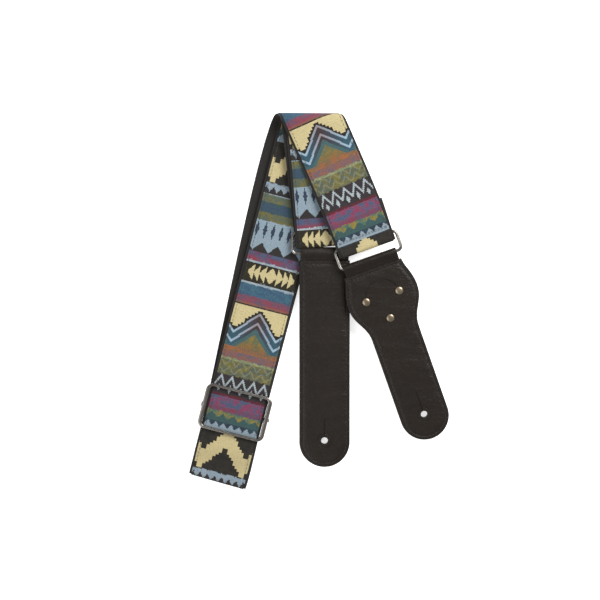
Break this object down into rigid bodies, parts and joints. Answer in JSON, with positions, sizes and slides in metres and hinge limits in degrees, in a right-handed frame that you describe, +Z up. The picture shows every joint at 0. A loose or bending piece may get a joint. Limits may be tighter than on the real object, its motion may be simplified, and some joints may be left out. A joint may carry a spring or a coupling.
{
  "type": "guitar strap",
  "caption": "Two-inch woven guitar strap, folded flat: patterned ribbon on black webbing, wire rings, a slider and two leather ends with button holes.",
  "frame": {"origin": "bottom centre of the folded strap's box, on the surface it lies on", "axes": "+Z up out of the surface, +Y towards the crest where the webbing turns over, +X towards the leather end with the rivets"},
  "size_m": [0.2214, 0.3206, 0.0204],
  "materials": {
    "webbing": "black woven webbing",
    "jacquard": "multicoloured jacquard weave",
    "leather": "black-brown pebbled leather, semi-matt",
    "core": "fibre filler",
    "gunmetal": "dark nickel plating",
    "rivet": "antique pewter"
  },
  "bodies": {
    "strap": {"backing_webbing": "webbing", "jacquard_ribbon": "jacquard"},
    "slider": {"slider_frame": "gunmetal", "webbing_sewn_end": "webbing"},
    "slider_bar": {"slider_center_bar": "gunmetal"},
    "ring_a": {"ring_a": "gunmetal"},
    "tab_a": {"tab_a_front_leather": "leather", "tab_a_back_leather": "leather", "tab_a_core": "core", "tab_a_ring_loop": "leather"},
    "ring_b": {"ring_b": "gunmetal"},
    "tab_b": {"tab_b_front_leather": "leather", "tab_b_back_leather": "leather", "tab_b_core": "core", "tab_b_ring_loop": "leather", "rivet_cap_left": "rivet", "rivet_cap_right": "rivet", "rivet_cap_lower": "rivet", "rivet_post_left": "rivet", "rivet_post_right": "rivet", "rivet_post_lower": "rivet", "rivet_foot_left": "rivet", "rivet_foot_right": "rivet", "rivet_foot_lower": "rivet"}
  },
  "joints": [
    {"name": "slider_slide", "type": "slide", "parent": "strap", "child": "slider", "axis": [0.2494, 0.9684, 0], "range_m": [-0.015, 0.045]},
    {"name": "slider_bar_roll", "type": "hinge", "parent": "slider", "child": "slider_bar", "pos_m": [-0.07116, -0.09418, 0.00735], "axis": [0.9684, -0.2494, 0], "continuous": true},
    {"name": "ring_a_swing", "type": "hinge", "parent": "strap", "child": "ring_a", "pos_m": [0.00471, 0.05762, 0.01005], "axis": [1, 0, 0], "range_deg": [0, 45], "deforming": ["backing_webbing", "jacquard_ribbon"]},
    {"name": "tab_a_swing", "type": "hinge", "parent": "ring_a", "child": "tab_a", "pos_m": [0.00471, 0.04062, 0.01005], "axis": [1, 0, 0], "range_deg": [0, 45]},
    {"name": "ring_b_swing", "type": "hinge", "parent": "strap", "child": "ring_b", "pos_m": [0.03721, 0.05064, 0.01705], "axis": [-0.9421, -0.3355, 0], "range_deg": [0, 60]},
    {"name": "tab_b_swing", "type": "hinge", "parent": "ring_b", "child": "tab_b", "pos_m": [0.04291, 0.03462, 0.01705], "axis": [-0.9421, -0.3355, 0], "range_deg": [0, 60]}
  ]
}
